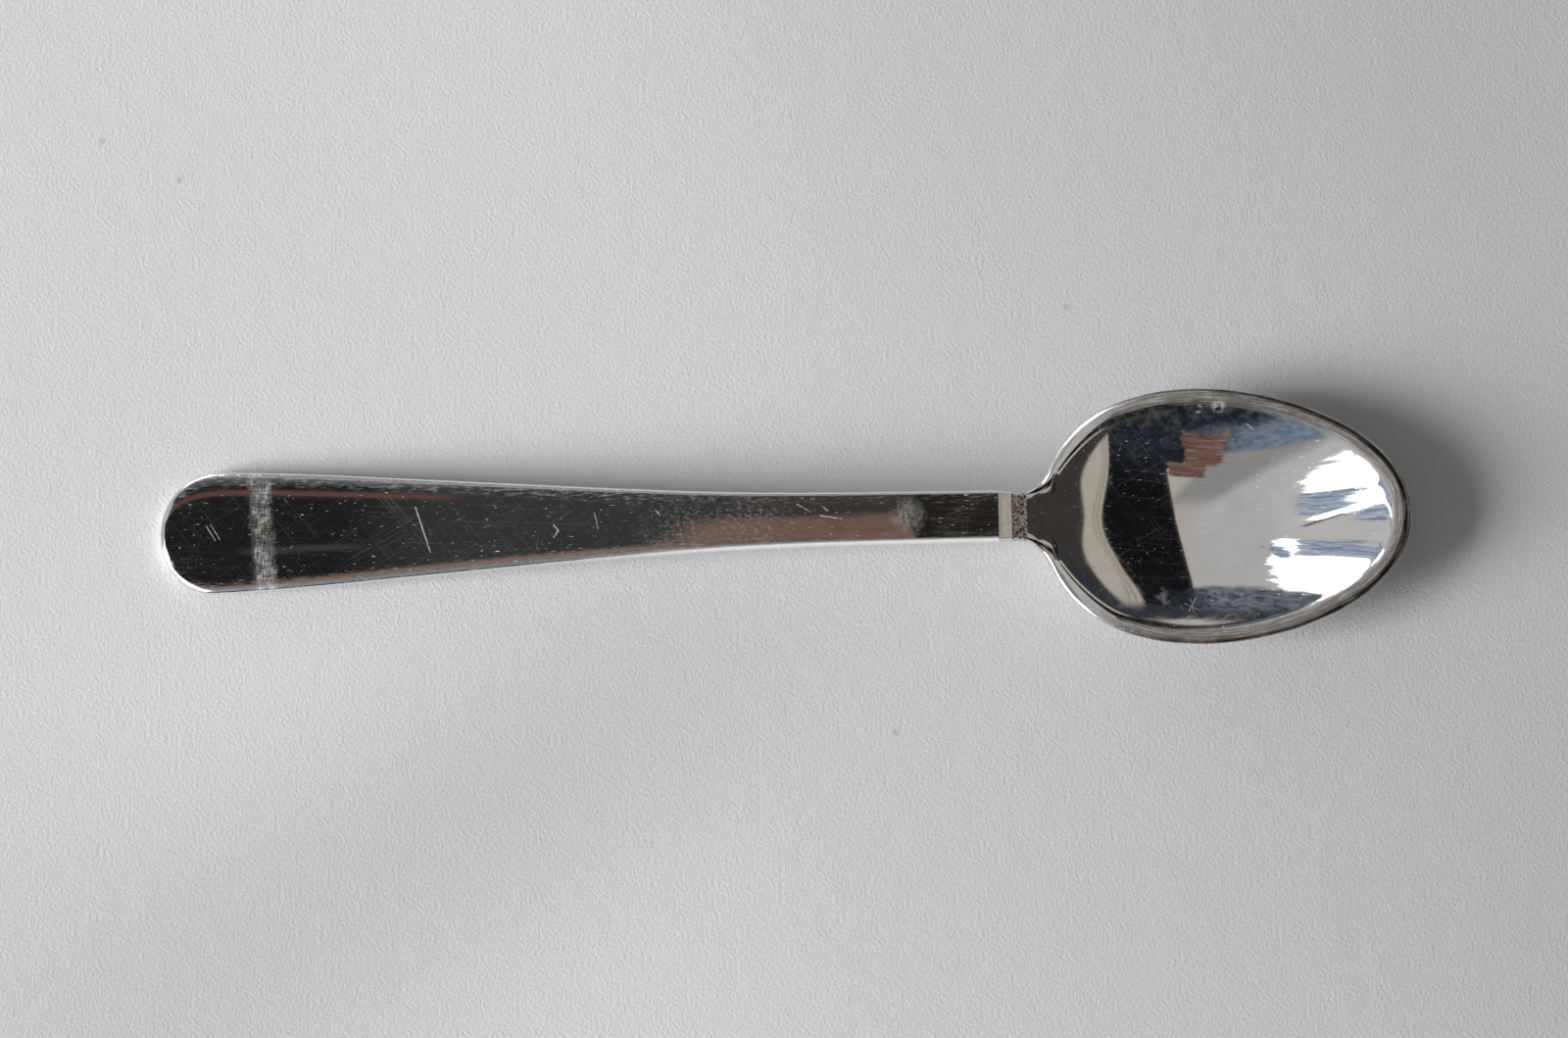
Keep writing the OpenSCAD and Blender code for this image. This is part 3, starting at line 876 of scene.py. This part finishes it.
# The pale strip with two fine lines, and the dark floor below it.
strip_pale, strip_line, floor_dark = (0.43, 0.395, 0.35), (0.13, 0.1, 0.08), (0.04, 0.036, 0.035)
strip_edge = 0.788 + 0.022 * y - 0.346 * y * y - 0.187 * y * y * y
strip_top = 0.854 - 0.037 * y - 0.034 * y * y + 0.11 * y * y * y - 0.675 * y * y * y * y
line = band(x - strip_edge, 0.014, 0.02, 0.002) + band(x - strip_edge, 0.03, 0.035, 0.002)
room = lay(tree, room, (
    (ease(x - strip_edge, -0.005, 0.005), strip_pale),
    (line * 0.6, strip_line),
    (ease(x - strip_top, -0.006, 0.006), floor_dark)))

# The two windows, with the hill and leaves outside them, and streaks over both.
pane, hill_blue, leaf_light = (5.6, 5.75, 6.0), (0.15, 0.19, 0.27), (0.5, 0.58, 0.72)
slat_blue, bar_dark = (0.45, 0.56, 0.72), (0.1, 0.1, 0.09)
leaves = ragged(noise(tree, at, 60.0, 3.0, 0.8, (0.25, 1.0, 0.25)), 0.42, 0.62)
hill = paint(tree, hill_blue, leaves, leaf_light)
slats = ragged(noise(tree, at, 1.0, 3.0, 0.7, (4.0, 55.0, 4.0)), 0.54, 0.58)
rx, ry = x + 0.16 * jag, y + 0.05 * jag
low_window = band(rx + 0.12 * size(y + 0.45), -0.88, -0.455, 0.012) * band(ry, -0.82, 0.0, 0.02)
low_window = low_window * (1 - ease(ry, -0.3, -0.2) * ease(rx, -0.6, -0.57))
sliver = x + 0.75 * (0.07 - y)
high_window = band(rx + 0.25 * (0.9 - y), -0.85, -0.225, 0.02) * ease(ry, 0.62, 0.66)
finger = band(rx + 0.25 * (0.45 - y), -0.41, -0.345, 0.01) * band(ry, 0.43, 0.66, 0.02)
room = lay(tree, room, (
    (low_window, pane),
    (band(rx, -0.61, -0.46, 0.02) * band(ry, -0.27, 0.08, 0.03), hill),
    (band(rx, -0.7, -0.61, 0.02) * band(ry, 0.0, 0.2, 0.03), hill),
    (low_window * ease(rx, -0.7, -0.6) * slats, slat_blue),
    (band(sliver, -0.6, -0.545, 0.008) * band(y, 0.02, 0.14, 0.02), pane),
    (band(sliver, -0.608, -0.585, 0.006) * band(y, 0.07, 0.24, 0.01), bar_dark),
    (clamp(high_window + finger), pane),
    (high_window * ease(rx, -0.5, -0.4) * slats, slat_blue),
    (band(rx, -0.365, -0.3, 0.012) * band(ry, 0.5, 0.68, 0.03), hill),
    (band(rx, -0.56, -0.41, 0.02) * band(ry, 0.44, 0.63, 0.03), hill)))

# The unlit corner beside the high window, and what lies near the table.
night_blue, arc_light = (0.012, 0.015, 0.022), (0.30, 0.35, 0.44)
skirting_dark, skirting_brown = (0.03, 0.034, 0.045), (0.22, 0.16, 0.11)
night = ease(y + 0.03 * jag, 0.895, 0.92) * ease(x, -0.36, -0.31)
arcs = ragged(noise(tree, at, 50.0, 4.0, 0.8, (0.5, 1.0, 0.5)), 0.4, 0.62)
arcs = arcs * band(x, -0.32, 0.12, 0.1)
room = lay(tree, room, (
    (night, paint(tree, night_blue, arcs * 0.7, arc_light)),
    (1 - ease(z, 0.1, 0.2), skirting_dark),
    (band(z, 0.02, 0.045, 0.008) * ease(y, 0.8, 0.9), skirting_brown)))
room_seen = tree.nodes["Background"]
tree.links.new(room, room_seen.inputs["Color"])

# What isn't mirrored in the silver is lit by a plainer, softer room.
soft_grey, soft_dark, soft_low = (0.3, 0.3, 0.305), (0.06, 0.06, 0.06), (0.42, 0.42, 0.425)
soft_pane, soft_glow = (28.0, 28.0, 28.7), (1.6, 1.6, 1.65)
soft = lay(tree, soft_grey, (
    (ease(x, 0.3, 0.42), soft_dark),
    (band(x, -0.97, -0.75, 0.03) * band(y, -0.42, 0.0, 0.04), soft_pane),
    (band(x, -0.75, -0.3, 0.02) * band(y, 0.64, 0.9, 0.02), soft_glow),
    (1 - ease(z, 0.1, 0.17), soft_low)))
room_soft = tree.nodes.new("ShaderNodeBackground")
tree.links.new(soft, room_soft.inputs["Color"])
light_path = tree.nodes.new("ShaderNodeLightPath")
choice = tree.nodes.new("ShaderNodeMixShader")
tree.links.new(light_path.outputs["Is Glossy Ray"], choice.inputs[0])
tree.links.new(room_soft.outputs[0], choice.inputs[1])
tree.links.new(room_seen.outputs[0], choice.inputs[2])
tree.links.new(choice.outputs[0], tree.nodes["World Output"].inputs["Surface"])


# Card. A soft dark card hangs close over the stem, out of the camera's sight. It glows
# and is seen only in mirrored rays: its painted pattern is the stem's painted reflection,
# which the flat face mirrors with its warm band and its grey ones.

card_level = 0.04
card_corners = [
    (-0.094, -0.035), (0.0216, -0.035), (0.0232, -0.004), (0.0232, 0.008),
    (0.0216, 0.045), (-0.012, 0.045), (-0.012, 0.13), (-0.094, 0.13)]
card, card_finish = flat_sheet("stem_card", card_corners[::-1], card_level)
for ray in ("camera", "diffuse", "shadow", "transmission", "volume_scatter"):
    setattr(card, "visible_" + ray, False)
card_finish.cycles.emission_sampling = "NONE"
tree = card_finish.node_tree
tree.nodes.remove(tree.nodes["Principled BSDF"])
glow = tree.nodes.new("ShaderNodeEmission")
tree.links.new(glow.outputs[0], tree.nodes["Material Output"].inputs["Surface"])

# The place on the stem's face that mirrors each place of the card.
cx, cy, cz, at = place_on(tree)
over_x = 0.0228 + 0.816 * (cx - 0.0216)
half = stem_half(blank, most(over_x, -0.062))
brushed = ragged(noise(tree, at, 1.0, 3.0, 0.7, (160.0, 1500.0, 1.0)), 0.3, 0.7)
left_part = 1 - ease(over_x, -0.036, -0.029)

card_black, card_grey = (0.012, 0.012, 0.014), (0.036, 0.036, 0.038)
card_middle, card_neck = (0.038, 0.035, 0.033), (0.015, 0.013, 0.011)
card_warm, card_red, card_brown = (0.185, 0.115, 0.09), (0.12, 0.06, 0.052), (0.26, 0.165, 0.135)
card_blue, card_green = (0.10, 0.11, 0.125), (0.05, 0.052, 0.045)
card_pale, card_low = (0.3, 0.3, 0.3), (0.2, 0.2, 0.2)

warm_top = 0.0041 + 0.0004 * ease(over_x, 0.002, 0.009) - 0.0045 * ease(over_x, 0.0135, 0.0152)
warm = ease(over_x - 0.6 * cy, -0.012, -0.006) * (1 - ease(over_x, 0.0148, 0.0156))
warm = warm * (1 - ease(cy, warm_top - 0.0005, warm_top + 0.0005)) * (0.55 + 0.45 * brushed)
warm = warm * (1 - 0.5 * band(over_x, 0.005, 0.0105, 0.001) * band(cy, 0.0036, 0.0046, 0.0003))
streak = band(over_x, -0.0555, -0.0425, 0.002) * band(cy, 0.0008, 0.0018, 0.0004)
lower_line = band(cy + half, 0.001, 0.0021, 0.0003) * (1 - ease(over_x, -0.015, -0.005))
# Painted reflection for the stem's face: dark grounds, a warm band, red, blue and pale lines by
# the far edge, a green streak and a brown line by the near edge.
tone = lay(tree, card_black, (
    (ease(over_x, -0.046, -0.032), card_grey),
    (ease(over_x, -0.012, -0.002), card_middle),
    (ease(over_x, 0.0145, 0.0155), card_neck),
    (warm, card_warm),
    (band(cy - half, 0.0044, 0.0053, 0.0002) * left_part, card_red),
    (ease(cy - half, 0.0062, 0.0072) * (0.4 + 0.6 * left_part), card_blue),
    (ease(cy - half, 0.012, 0.02), card_pale),
    (streak * 0.8, card_green),
    (lower_line, card_brown),
    (1 - ease(cy + half, 0.0, 0.0009), card_low)))
tree.links.new(tone, glow.inputs["Color"])


# Camera. It hangs almost straight above the spoon, as in the photograph, and
# its lens shows the whole spoon with the sheet round it.

photo_width, focal_length = 1600, 3760
lens = bpy.data.cameras.new("camera")
lens.sensor_width = 36
lens.lens = focal_length / photo_width * lens.sensor_width
camera = bpy.data.objects.new("camera", lens)
camera.location = (-0.00574, -0.04573, 0.40146)
camera.rotation_euler = Euler((0.1161, -0.0132, -0.0145))
shapes.objects.link(camera)
bpy.context.scene.camera = camera

bpy.context.scene.view_settings.view_transform = "Standard"
